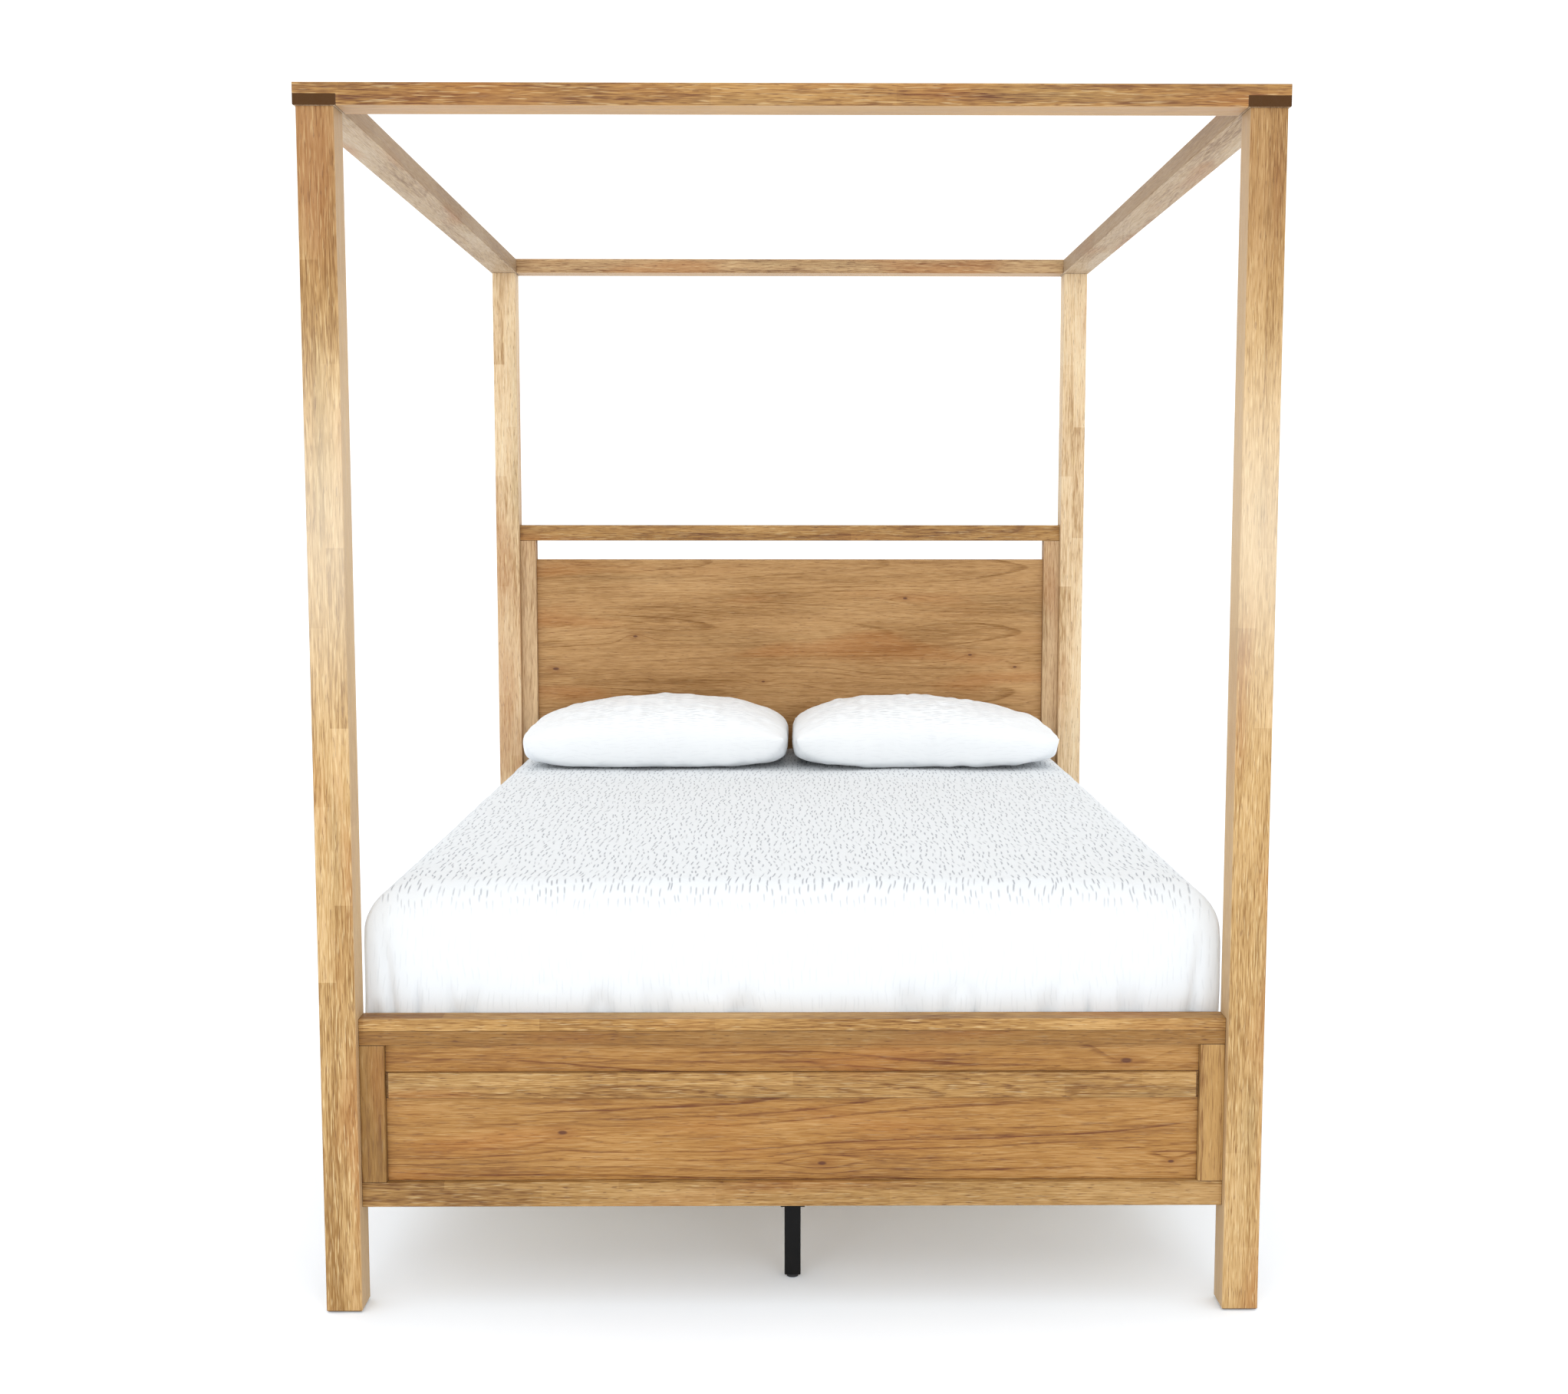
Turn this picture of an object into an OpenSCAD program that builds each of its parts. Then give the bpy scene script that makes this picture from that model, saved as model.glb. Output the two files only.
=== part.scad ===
// Four poster canopy bed: posts, canopy frame, panelled headboard and footboard,
// side rails, slats, a centre beam on legs with levelling feet, and its bedding.
// X runs across the bed, the foot end faces -Y, and the floor is z = 0.

/* [Overall] */
// Width over the outsides of the posts
bed_w = 1660; // [1650:1:1700]
// Length over the outsides of the posts
bed_l = 2164; // [2160:1:2200]
// Height of the top of the posts
post_top = 2092; // [1900:1:2200]
// Side of a square post
post_size = 64; // [62:1:66]
// Rounding of the long edges of posts and canopy rails
edge_r = 2.5; // [1:0.5:4]
// Rounding of the long edges of the panelled frames
frame_r = 1; // [0.5:0.25:2]

/* [Canopy] */
// Height of a canopy rail
canopy_h = 38; // [34:1:50]
// How far a canopy rail stands past the post on each side
canopy_over = 4; // [0:1:10]

/* [Footboard] */
// Underside of the footboard
foot_low = 188; // [180:1:200]
// Height of the bottom rail
foot_bottom_h = 45; // [40:1:60]
// Height of the top rail under the cap
foot_top_h = 25.5; // [24:0.5:40]
// Thickness of the cap board
foot_cap_h = 21.5; // [15:0.5:30]
// Top of the cap
foot_top = 529.5; // [500:0.5:540]
// Thickness of the footboard frame, front to back
foot_frame_t = 46; // [40:1:50]
// Height of the batten across the panel
batten_h = 46; // [30:1:60]
// Lower edge of the batten
batten_low = 385; // [300:1:400]
// How far the batten stands out of the panel
batten_t = 7.5; // [5:0.5:10]
// Gap between the batten's end and the stile
batten_gap = 5; // [2:1:10]

/* [Headboard] */
// Top of the headboard
head_top = 1393; // [1300:1:1450]
// Height of the top rail
head_top_h = 44; // [40:1:60]
// Open gap between the top rail and the panel
head_gap = 53; // [30:1:80]
// Top of the bottom rail, where the panel starts
head_panel_low = 704; // [690:1:740]
// Height of the bottom rail
head_bottom_h = 140; // [120:5:160]
// Thickness of the headboard frame, front to back
head_frame_t = 42; // [38:1:46]
// Width of a stile, on the headboard and on the footboard
stile_w = 44; // [40:1:60]

/* [Base] */
// Thickness of a side rail
rail_t = 24; // [22:1:28]
// Height of a side rail
rail_h = 200; // [180:5:220]
// Underside of a side rail
rail_low = 210; // [205:1:215]
// Thickness of a slat
slat_t = 18; // [15:1:22]
// Width of a slat
slat_w = 90; // [70:5:110]
// Width of the centre beam
beam_w = 38; // [36:1:50]
// Height of the centre beam
beam_h = 72; // [66:1:74]
// Outer side of a square leg tube
leg_w = 30; // [28:1:34]
// Wall of a leg tube
leg_wall = 1.5; // [1.2:0.1:2]
// Distance from an end leg to the outer face of the posts at that end
leg_inset = 165; // [150:5:300]
// Gap between a leg tube and the floor
leg_gap = 7; // [7:0.5:10]

/* [Bedding] */
// Mattress width
mattress_w = 1516; // [1480:1:1516]
// Mattress length
mattress_l = 2016; // [1950:1:2016]
// Mattress thickness
mattress_t = 262; // [200:1:300]
// Height of the foundation under the mattress
foundation_h = 228; // [200:1:230]
// Thickness of the coverlet
cover_t = 4; // [3:0.5:5]
// Rounding of the coverlet's top edges
cover_r = 80; // [50:5:100]
// Pillow width
pillow_w = 706; // [640:1:710]
// Pillow depth
pillow_d = 490; // [400:5:510]
// Pillow thickness
pillow_h = 176; // [120:2:200]

/* [Hidden] */
$fn = 48;
slat_count = 9;
eps = 0.5; // how far a cutting solid runs past the face that it opens
fit_gap = 0.05; // clearance round a pin, screw or plate in its seat

// Posts
post_x = bed_w / 2 - post_size / 2;
post_y = bed_l / 2 - post_size / 2;
inner_x = bed_w / 2 - post_size;
inner_y = bed_l / 2 - post_size;
glide_h = 2;
glide_r = 19;
glide_pin_r = 2.5;
glide_pin_l = 14;
post_chamfer = 3;

// Canopy frame: the corners are half laps, the cross rails lie on the long rails
canopy_w = post_size + 2 * canopy_over;
canopy_x = bed_w / 2 + canopy_over;
canopy_y = bed_l / 2 + canopy_over;
canopy_mid = post_top + canopy_h / 2;
canopy_top = post_top + canopy_h;
bolt_r = 4;
bolt_hole_r = 4.5;
bolt_head_r = 8;
bolt_head_h = 4;
bolt_seat_r = 9;
bolt_seat_h = 6;
bolt_l = 58;
insert_r = 7;
insert_l = 30;

// Panelled frames
panel_t = 16;
tongue = 8;
play = 0.3; // play of a panel or tenon in its groove
foot_back = -inner_y;
foot_face = foot_back - foot_frame_t;
foot_panel_face = foot_face + 12;
foot_panel_low = foot_low + foot_bottom_h;
foot_cap_low = foot_top - foot_cap_h;
foot_rail_low = foot_cap_low - foot_top_h;
head_back = bed_l / 2;
head_face = head_back - head_frame_t;
head_panel_face = head_face + 16;
head_rail_low = head_top - head_top_h;
head_panel_top = head_rail_low - head_gap;
stile_x = inner_x - stile_w;

// Stretcher between the rear posts, which holds the head end of the centre beam
stretcher_t = 25;
stretcher_low = 150;
stretcher_h = 100;

// Side rails, ledges, slats
rail_in = post_x - rail_t / 2;
rail_mid = rail_low + rail_h / 2;
ledge_w = 20;
ledge_h = 28;
ledge_l = 2 * inner_y - 60;
slat_low = 244;
slat_top = slat_low + slat_t;
slat_half = rail_in - 2;
slat_end = 88; // from the post's face to the middle of the first slat
slat_pitch = (2 * inner_y - 2 * slat_end) / (slat_count - 1);
slat_screw_x = rail_in - ledge_w / 2;

// Centre beam and the hangers that hold its ends
beam_low = slat_low - beam_h;
hanger_t = 2.5;
hanger_d = 40;
hanger_half = 42;
hanger_h = 44;
hanger_gap = 0.3;
hanger_screw_x = 32;
hanger_screw_z = beam_low + 36;

// Centre legs, their threaded plugs and the levelling feet
leg_y = [-bed_l / 2 + leg_inset, 0, bed_l / 2 - leg_inset];
leg_r = 3;
plate_t = 3;
plate_l = 84;
plate_screw_y = 30;
plug_h = 22;
stem_r = 4;
stem_low = 2.1;
stem_l = 34;
pad_r = 11;
pad_h = 5;
pad_socket = 3;

// Hook plates on the rails and slot plates in the posts
plate_w = 20;
hook_plate_t = 3;
hook_plate_h = 130;
hook_t = 4;
hook_z = [-25, 25];
plate_screw_z = [-55, 55];

// Bedding
cover_gap = 0.6;
mattress_low = slat_top + foundation_h + 0.5;
mattress_top = mattress_low + mattress_t;
mattress_y0 = foot_back + 16;
mattress_y1 = mattress_y0 + mattress_l;
mattress_r = 40;
cover_wall = 14; // wall of the mattress and of the foundation
cover_top = mattress_top + cover_gap + cover_t;
cover_hem = rail_low + rail_h - 30;
pillow_gap = 8;
pillow_wall = 4;
pillow_y1 = head_face - 12;
pillow_low = cover_top + 0.5;

post_oak = "#c9a172";
frame_oak = "#bd935f";
panel_oak = "#b38752";
canopy_oak = "#c4a078";
pine = "#d9bf94";
beech = "#dcc6a0";
zinc = "#b4b6ba";
black_steel = "#242426";
black_plastic = "#1b1b1c";
ticking = "#d9d6cf";
cotton = "#f2f4f6";

// ---- Boards: given by their lowest corner and their size ----

module rounded_rect(a, b, r) {
    translate([r, 0]) square([a - 2 * r, b]);
    translate([0, r]) square([a, b - 2 * r]);
    for (x = [r, a - r], y = [r, b - r]) translate([x, y]) circle(r);
}

module board_x(low, size, r = frame_r) {
    translate(low) rotate([90, 0, 90]) linear_extrude(size[0])
        rounded_rect(size[1], size[2], r);
}

module board_y(low, size, r = frame_r) {
    translate(low + [0, size[1], 0]) rotate([90, 0, 0]) linear_extrude(size[1])
        rounded_rect(size[0], size[2], r);
}

module board_z(low, size, r = frame_r) {
    translate(low) linear_extrude(size[2]) rounded_rect(size[0], size[1], r);
}

// A plain block between its lowest and its highest corner
module block(low, high) {
    translate(low) cube(high - low);
}

// Mirrors its children to the left side when side is -1
module on_side(side) {
    mirror([side < 0 ? 1 : 0, 0, 0]) children();
}

// Mirrors its children to the foot end when end is -1
module on_end(end) {
    mirror([0, end < 0 ? 1 : 0, 0]) children();
}

// ---- Fasteners ----

dowel_r = 5;
dowel_l = 50;
screw_r = 2;
screw_head_r = 4;
screw_l = 30;

// Dowels between a post and the frame beside it, as [y, z]
foot_dowels = [for (z = [foot_low + foot_bottom_h / 2, 300, 420, foot_rail_low + foot_top_h / 2])
    [foot_back - foot_frame_t / 2, z]];
head_dowels = [for (z = [head_panel_low - 105, head_panel_low - 35, 860, 1140,
    head_top - head_top_h / 2]) [head_back - head_frame_t / 2, z]];
stretcher_dowels = [for (z = [30, 70]) [head_face + stretcher_t / 2, stretcher_low + z]];

module dowels(list, grow = 0) {
    for (side = [-1, 1], yz = list) translate([side * inner_x, yz[0], yz[1]])
        rotate([0, 90, 0]) cylinder(r = dowel_r + grow, h = dowel_l + 2 * grow, center = true);
}

// A countersunk screw that points along -Z, with the top of its head at z = 0
module screw() {
    rotate_extrude() polygon([[0, 0], [screw_head_r, 0], [screw_r, screw_r - screw_head_r],
        [screw_r, 4 - screw_l], [0, -screw_l]]);
}

module screw_hole() {
    r = screw_r + fit_gap;
    head_r = screw_head_r + fit_gap;
    rotate_extrude() polygon([[0, eps], [head_r, eps], [head_r, 0], [r, r - head_r],
        [r, 4 - screw_l], [0, -screw_l - fit_gap]]);
}

// Children at each place of a list of [position, rotation]
module at_each(places) {
    for (p = places) translate(p[0]) rotate(p[1]) children();
}

ledge_places = [for (side = [-1, 1], y = [-900, -300, 300, 900])
    [[side * (rail_in - ledge_w), y, slat_low - ledge_h / 2], [0, -side * 90, 0]]];
hook_places = [for (side = [-1, 1], end = [-1, 1], z = plate_screw_z)
    [[side * post_x, end * inner_y, rail_mid + z], [-end * 90, 0, 0]]];
slot_places = [for (side = [-1, 1], end = [-1, 1], z = plate_screw_z)
    [[side * post_x, end * inner_y, rail_mid + z], [end * 90, 0, 0]]];
front_hanger_places = [for (side = [-1, 1])
    [[side * hanger_screw_x, foot_back + hanger_t, hanger_screw_z], [-90, 0, 0]]];
rear_hanger_places = [for (side = [-1, 1])
    [[side * hanger_screw_x, head_face - hanger_t, hanger_screw_z], [90, 0, 0]]];
leg_places = [for (y = leg_y, s = [-1, 1])
    [[0, y + s * plate_screw_y, beam_low - plate_t], [180, 0, 0]]];
slat_places = [for (i = [1 : slat_count], side = [-1, 1])
    [[side * slat_screw_x, slat_y(i), slat_top], [0, 0, 0]]];

function slat_y(i) = -inner_y + slat_end + (i - 1) * slat_pitch;

module frame_screws() {
    color(zinc) at_each(concat(ledge_places, hook_places, slot_places, front_hanger_places,
        rear_hanger_places, leg_places)) screw();
}

module slat_screws() {
    color(zinc) at_each(slat_places) screw();
}

module frame_dowels() {
    color(beech) dowels(concat(foot_dowels, head_dowels, stretcher_dowels));
}

// ---- Posts ----

module post_chamfers() {
    side = post_chamfer * sqrt(2);
    for (a = [0 : 90 : 270]) rotate(a) translate([post_size / 2, 0, glide_h])
        rotate([0, 45, 0]) cube([side, post_size + 2, side], center = true);
}

module post(side, end) {
    color(post_oak) difference() {
        translate([side * post_x, end * post_y, 0]) difference() {
            board_z([-post_size / 2, -post_size / 2, glide_h],
                [post_size, post_size, post_top - glide_h], edge_r);
            post_chamfers();
            translate([0, 0, post_top - insert_l]) cylinder(r = insert_r + fit_gap, h = insert_l + eps);
            cylinder(r = glide_pin_r + fit_gap, h = glide_pin_l);
        }
        dowels(end < 0 ? foot_dowels : concat(head_dowels, stretcher_dowels), fit_gap);
        on_side(side) on_end(end) slot_plate_seat();
        at_each(slot_places) screw_hole();
    }
}

module post_glides() {
    color(black_plastic) for (side = [-1, 1], end = [-1, 1])
        translate([side * post_x, end * post_y, 0]) {
            cylinder(r = glide_r, h = glide_h);
            cylinder(r = glide_pin_r, h = glide_pin_l - fit_gap);
        }
}

// ---- Canopy ----

module bolt_hole(side, end) {
    translate([side * post_x, end * post_y, post_top - eps]) {
        cylinder(r = bolt_hole_r, h = canopy_h + 2 * eps);
        translate([0, 0, canopy_h + eps - bolt_seat_h]) cylinder(r = bolt_seat_r, h = bolt_seat_h + eps);
    }
}

module canopy_cross_rail(end) {
    color(canopy_oak) on_end(end) difference() {
        board_x([-canopy_x, canopy_y - canopy_w, post_top],
            [2 * canopy_x, canopy_w, canopy_h], edge_r);
        for (side = [-1, 1]) {
            on_side(side) block([canopy_x - canopy_w, canopy_y - canopy_w - eps, post_top - eps],
                [canopy_x + eps, canopy_y + eps, canopy_mid]);
            bolt_hole(side, 1);
        }
    }
}

module canopy_long_rail(side) {
    color(canopy_oak) on_side(side) difference() {
        board_y([canopy_x - canopy_w, -canopy_y, post_top],
            [canopy_w, 2 * canopy_y, canopy_h], edge_r);
        for (end = [-1, 1]) {
            on_end(end) block([canopy_x - canopy_w - eps, canopy_y - canopy_w, canopy_mid],
                [canopy_x + eps, canopy_y + eps, canopy_top + eps]);
            bolt_hole(1, end);
        }
    }
}

module canopy_bolts() {
    head_low = canopy_top - bolt_seat_h;
    color(zinc) for (side = [-1, 1], end = [-1, 1])
        translate([side * post_x, end * post_y, head_low]) difference() {
            union() {
                cylinder(r = bolt_head_r, h = bolt_head_h);
                translate([0, 0, -bolt_l]) cylinder(r = bolt_r, h = bolt_l + 1);
            }
            translate([0, 0, 1.5]) cylinder(r = 3, h = bolt_head_h, $fn = 6);
        }
}

module canopy_inserts() {
    color(zinc) for (side = [-1, 1], end = [-1, 1])
        translate([side * post_x, end * post_y, post_top - insert_l]) difference() {
            cylinder(r = insert_r, h = insert_l);
            translate([0, 0, -eps]) cylinder(r = bolt_r + fit_gap, h = insert_l + 2 * eps);
        }
}

// ---- Panelled frames ----

// The groove that a panel or a stile's tenon sits in, across the whole frame
module groove(panel_face, z_low, z_high) {
    block([-inner_x - eps, panel_face - play / 2, z_low],
        [inner_x + eps, panel_face + panel_t + play / 2, z_high]);
}

// A right-hand stile between two rails, with a tenon at each end
module stile(side, frame_face, frame_t, panel_face, z_low, z_high, list) {
    color(frame_oak) difference() {
        on_side(side) difference() {
            union() {
                board_z([stile_x, frame_face, z_low], [stile_w, frame_t, z_high - z_low]);
                block([stile_x, panel_face, z_low - tongue + play],
                    [inner_x, panel_face + panel_t, z_high + tongue - play]);
            }
            block([stile_x - eps, panel_face - play / 2, z_low - tongue],
                [stile_x + tongue, panel_face + panel_t + play / 2, z_high + tongue]);
        }
        dowels(list, fit_gap);
    }
}

module panel(panel_face, z_low, z_high) {
    half = stile_x + tongue - play;
    color(panel_oak) board_x([-half, panel_face, z_low], [2 * half, panel_t, z_high - z_low]);
}

module headboard_top_rail() {
    color(frame_oak) difference() {
        board_x([-inner_x, head_face, head_rail_low], [2 * inner_x, head_frame_t, head_top_h]);
        for (side = [-1, 1]) on_side(side)
            block([stile_x, head_panel_face - play / 2, head_rail_low - eps],
                [inner_x + eps, head_panel_face + panel_t + play / 2, head_rail_low + tongue]);
        dowels(head_dowels, fit_gap);
    }
}

module headboard_bottom_rail() {
    color(frame_oak) difference() {
        board_x([-inner_x, head_face, head_panel_low - head_bottom_h],
            [2 * inner_x, head_frame_t, head_bottom_h]);
        groove(head_panel_face, head_panel_low - tongue, head_panel_low + eps);
        dowels(head_dowels, fit_gap);
    }
}

module headboard_stile(side) {
    stile(side, head_face, head_frame_t, head_panel_face, head_panel_low, head_rail_low, head_dowels);
}

module headboard_panel() {
    panel(head_panel_face, head_panel_low - tongue + play, head_panel_top);
}

module rear_stretcher() {
    color(frame_oak) difference() {
        board_x([-inner_x, head_face, stretcher_low], [2 * inner_x, stretcher_t, stretcher_h]);
        dowels(stretcher_dowels, fit_gap);
        at_each(rear_hanger_places) screw_hole();
    }
}

module footboard_cap() {
    color(post_oak) board_x([-inner_x, foot_face, foot_cap_low],
        [2 * inner_x, foot_frame_t, foot_cap_h]);
}

module footboard_top_rail() {
    color(frame_oak) difference() {
        board_x([-inner_x, foot_face, foot_rail_low], [2 * inner_x, foot_frame_t, foot_top_h]);
        groove(foot_panel_face, foot_rail_low - eps, foot_rail_low + tongue);
        dowels(foot_dowels, fit_gap);
    }
}

module footboard_bottom_rail() {
    color(frame_oak) difference() {
        board_x([-inner_x, foot_face, foot_low], [2 * inner_x, foot_frame_t, foot_bottom_h],
            edge_r);
        groove(foot_panel_face, foot_panel_low - tongue, foot_panel_low + eps);
        dowels(foot_dowels, fit_gap);
        at_each(front_hanger_places) screw_hole();
    }
}

module footboard_stile(side) {
    stile(side, foot_face, foot_frame_t, foot_panel_face, foot_panel_low, foot_rail_low, foot_dowels);
}

module footboard_panel() {
    panel(foot_panel_face, foot_panel_low - tongue + play, foot_rail_low + tongue - play);
}

module footboard_batten() {
    half = stile_x - batten_gap;
    color(post_oak) board_x([-half, foot_panel_face - batten_t, batten_low],
        [2 * half, batten_t, batten_h]);
}

// ---- Side rails and their hook plates ----

// The seats below are for the right side of the head end; mirrors give the other three

module slot_plate_seat() {
    half = plate_w / 2 + fit_gap;
    tall = hook_plate_h / 2 + fit_gap;
    block([post_x - half, inner_y - eps, rail_mid - tall],
        [post_x + half, inner_y + hook_plate_t, rail_mid + tall]);
    block([post_x - 5, inner_y, rail_mid - 44], [post_x + 5, inner_y + 14, rail_mid + 40]);
}

module slot_plate() {
    difference() {
        block([post_x - plate_w / 2, inner_y, rail_mid - hook_plate_h / 2],
            [post_x + plate_w / 2, inner_y + hook_plate_t, rail_mid + hook_plate_h / 2]);
        for (z = hook_z) block([post_x - 3, inner_y - eps, rail_mid + z - 16],
            [post_x + 3, inner_y + hook_plate_t + eps, rail_mid + z + 11]);
        at_each(slot_places) screw_hole();
    }
}

module hook() {
    translate([-hook_t / 2, 0, 0]) rotate([90, 0, 90]) linear_extrude(hook_t)
        polygon([[-1, -9], [4, -9], [4, -15], [10, -15], [10, 4], [5, 9], [-1, 9]]);
}

module hook_plate() {
    difference() {
        union() {
            block([post_x - plate_w / 2, inner_y - hook_plate_t, rail_mid - hook_plate_h / 2],
                [post_x + plate_w / 2, inner_y, rail_mid + hook_plate_h / 2]);
            for (z = hook_z) translate([post_x, inner_y, rail_mid + z]) hook();
        }
        at_each(hook_places) screw_hole();
    }
}

module rail_hook_plates() {
    color(zinc) for (side = [-1, 1], end = [-1, 1]) on_side(side) on_end(end) hook_plate();
}

module post_slot_plates() {
    color(zinc) for (side = [-1, 1], end = [-1, 1]) on_side(side) on_end(end) slot_plate();
}

module side_rail(side) {
    half = plate_w / 2 + fit_gap;
    tall = hook_plate_h / 2 + fit_gap;
    color(frame_oak) difference() {
        on_side(side) difference() {
            board_y([rail_in, -inner_y, rail_low], [rail_t, 2 * inner_y, rail_h], edge_r);
            for (end = [-1, 1]) on_end(end)
                block([post_x - half, inner_y - hook_plate_t, rail_mid - tall],
                    [post_x + half, inner_y + eps, rail_mid + tall]);
        }
        at_each(concat(hook_places, ledge_places)) screw_hole();
    }
}

module slat_ledge(side) {
    color(pine) difference() {
        on_side(side) board_y([rail_in - ledge_w, -ledge_l / 2, slat_low - ledge_h],
            [ledge_w, ledge_l, ledge_h]);
        at_each(concat(ledge_places, slat_places)) screw_hole();
    }
}

module slat(i) {
    color(pine) difference() {
        board_x([-slat_half, slat_y(i) - slat_w / 2, slat_low], [2 * slat_half, slat_w, slat_t]);
        at_each([slat_places[2 * i - 2], slat_places[2 * i - 1]]) screw_hole();
    }
}

// ---- Centre beam and legs ----

module centre_beam() {
    y0 = foot_back + hanger_t + hanger_gap;
    y1 = head_face - hanger_t - hanger_gap;
    color(pine) difference() {
        board_y([-beam_w / 2, y0, beam_low], [beam_w, y1 - y0, beam_h]);
        at_each(leg_places) screw_hole();
    }
}

// A folded steel hanger whose back plate lies on the plane y = 0 and opens to +Y
module hanger() {
    inside = beam_w / 2 + hanger_gap;
    outside = inside + hanger_t;
    low = beam_low - hanger_t;
    block([-hanger_half, 0, beam_low + 16], [hanger_half, hanger_t, low + hanger_h + hanger_t]);
    block([-outside, 0, low], [outside, hanger_t, beam_low + 20]);
    block([-outside, 0, low], [outside, hanger_d, beam_low]);
    for (side = [-1, 1]) on_side(side)
        block([inside, 0, low], [outside, hanger_d, low + hanger_h]);
}

module beam_hangers() {
    color(black_steel) difference() {
        union() {
            translate([0, foot_back, 0]) hanger();
            translate([0, head_face, 0]) mirror([0, 1, 0]) hanger();
        }
        at_each(concat(front_hanger_places, rear_hanger_places)) screw_hole();
    }
}

module centre_leg(y) {
    inner = leg_w - 2 * leg_wall;
    tube_h = beam_low - plate_t - leg_gap;
    color(black_steel) difference() {
        translate([0, y, 0]) {
            difference() {
                board_z([-leg_w / 2, -leg_w / 2, leg_gap], [leg_w, leg_w, tube_h], leg_r);
                board_z([-inner / 2, -inner / 2, leg_gap - eps],
                    [inner, inner, tube_h + eps], leg_r - leg_wall);
            }
            block([-beam_w / 2, -plate_l / 2, beam_low - plate_t],
                [beam_w / 2, plate_l / 2, beam_low]);
        }
        at_each(leg_places) screw_hole();
    }
}

module leg_plugs() {
    plug_w = leg_w - 2 * leg_wall - 2 * fit_gap;
    color(black_plastic) for (y = leg_y) translate([0, y, leg_gap]) difference() {
        board_z([-plug_w / 2, -plug_w / 2, 0], [plug_w, plug_w, plug_h], leg_r - leg_wall);
        translate([0, 0, -eps]) cylinder(r = stem_r + fit_gap, h = plug_h + 2 * eps);
    }
}

module foot_stem(y) {
    color(zinc) translate([0, y, stem_low]) cylinder(r = stem_r, h = stem_l);
}

module foot_pad(y) {
    color(black_plastic) translate([0, y, 0]) difference() {
        cylinder(r = pad_r, h = pad_h);
        translate([0, 0, pad_h - pad_socket]) cylinder(r = stem_r + fit_gap, h = pad_socket + eps);
    }
}

// ---- Bedding ----

// A rectangle standing on its base with its two top corners rounded
module round_top(a, b, r) {
    square([a, b - r]);
    translate([r, 0]) square([a - 2 * r, b]);
    for (x = [r, a - r]) translate([x, b - r]) circle(r, $fn = 96);
}

// A block rounded by r_plan at its upright corners and by r_top along its top edges
module soft_block(half, y0, y1, z0, z1, r_plan, r_top) {
    intersection() {
        board_z([-half, y0, z0], [2 * half, y1 - y0, z1 - z0], r_plan);
        translate([-half, y0, z0]) rotate([90, 0, 90]) linear_extrude(2 * half)
            round_top(y1 - y0, z1 - z0, r_top);
        translate([-half, y1, z0]) rotate([90, 0, 0]) linear_extrude(y1 - y0)
            round_top(2 * half, z1 - z0, r_top);
    }
}

// Both the foundation and the mattress are closed covers round a hollow core
module foundation() {
    color(ticking) difference() {
        board_z([-mattress_w / 2, mattress_y0, slat_top],
            [mattress_w, mattress_l, foundation_h], mattress_r);
        board_z([cover_wall - mattress_w / 2, mattress_y0 + cover_wall, slat_top + cover_wall],
            [mattress_w - 2 * cover_wall, mattress_l - 2 * cover_wall,
            foundation_h - 2 * cover_wall], mattress_r - cover_wall);
    }
}

module mattress() {
    top_r = cover_r - cover_t - cover_gap;
    color(ticking) difference() {
        soft_block(mattress_w / 2, mattress_y0, mattress_y1, mattress_low, mattress_top,
            mattress_r, top_r);
        soft_block(mattress_w / 2 - cover_wall, mattress_y0 + cover_wall,
            mattress_y1 - cover_wall, mattress_low + cover_wall, mattress_top - cover_wall,
            mattress_r - cover_wall, top_r - cover_wall);
    }
}

// Hangs over both sides and the foot end, and stops at the head end of the mattress
module coverlet() {
    thick = cover_t + cover_gap;
    past = 200;
    color(cotton) difference() {
        intersection() {
            soft_block(mattress_w / 2 + thick, mattress_y0 - thick, mattress_y1 + past,
                cover_hem, cover_top, mattress_r + thick, cover_r);
            block([-bed_w, -bed_l, 0], [bed_w, mattress_y1, cover_top + eps]);
        }
        soft_block(mattress_w / 2 + cover_gap, mattress_y0 - cover_gap, mattress_y1 + past,
            cover_hem - eps, cover_top - cover_t, mattress_r + cover_gap, cover_r - cover_t);
    }
}

// The plump outline of a pillow, drawn in by inset on every side
module pillow_form(inset) {
    ear_r = 14 - inset;
    end_r = pillow_h * 0.32 - inset;
    body = [pillow_w * 0.9, pillow_d * 0.9, pillow_h] / 2 - [inset, inset, inset];
    base = [pillow_w * 0.5, pillow_d * 0.5];
    hull() {
        translate([0, 0, pillow_h / 2]) scale(body) sphere(1, $fn = 40);
        translate([-base[0] / 2, -base[1] / 2, inset]) cube([base[0], base[1], pillow_h / 2]);
        for (x = [-1, 1], y = [-1, 1]) {
            translate([x * (pillow_w / 2 - 14), y * (pillow_d / 2 - 14), pillow_h * 0.4])
                sphere(ear_r, $fn = 16);
            translate([x * (pillow_w / 2 - 78), y * (pillow_d / 2 - 78), pillow_h * 0.45])
                sphere(end_r, $fn = 24);
        }
    }
}

module pillow(side) {
    x_mid = side * (pillow_w + pillow_gap) / 2;
    color(cotton) translate([x_mid, pillow_y1 - pillow_d / 2, pillow_low]) difference() {
        pillow_form(0);
        pillow_form(pillow_wall);
    }
}

// ---- Nodes ----

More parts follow.
